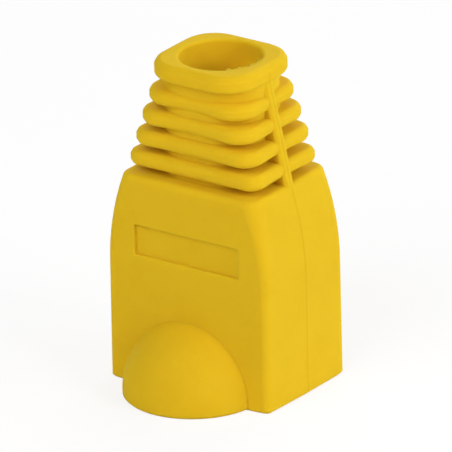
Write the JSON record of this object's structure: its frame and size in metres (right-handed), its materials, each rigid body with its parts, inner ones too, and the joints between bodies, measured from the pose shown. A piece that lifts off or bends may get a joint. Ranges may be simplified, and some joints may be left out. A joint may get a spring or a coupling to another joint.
{
  "type": "rj45 strain relief boot",
  "caption": "Slip-on soft plastic boot for a modular network plug: tapered box with a latch dome, ribbed flexible neck and a collar round the cable entry.",
  "frame": {"origin": "middle of the open plug mouth, in the plane of its rim", "axes": "+Z along the cable, from the mouth to the collar; -Y towards the face with the latch dome; +X across the width"},
  "size_m": [0.014, 0.014, 0.0244],
  "materials": {
    "boot": "soft satin moulded plastic, yellow"
  },
  "bodies": {
    "root": {"boot": "boot"}
  },
  "joints": []
}
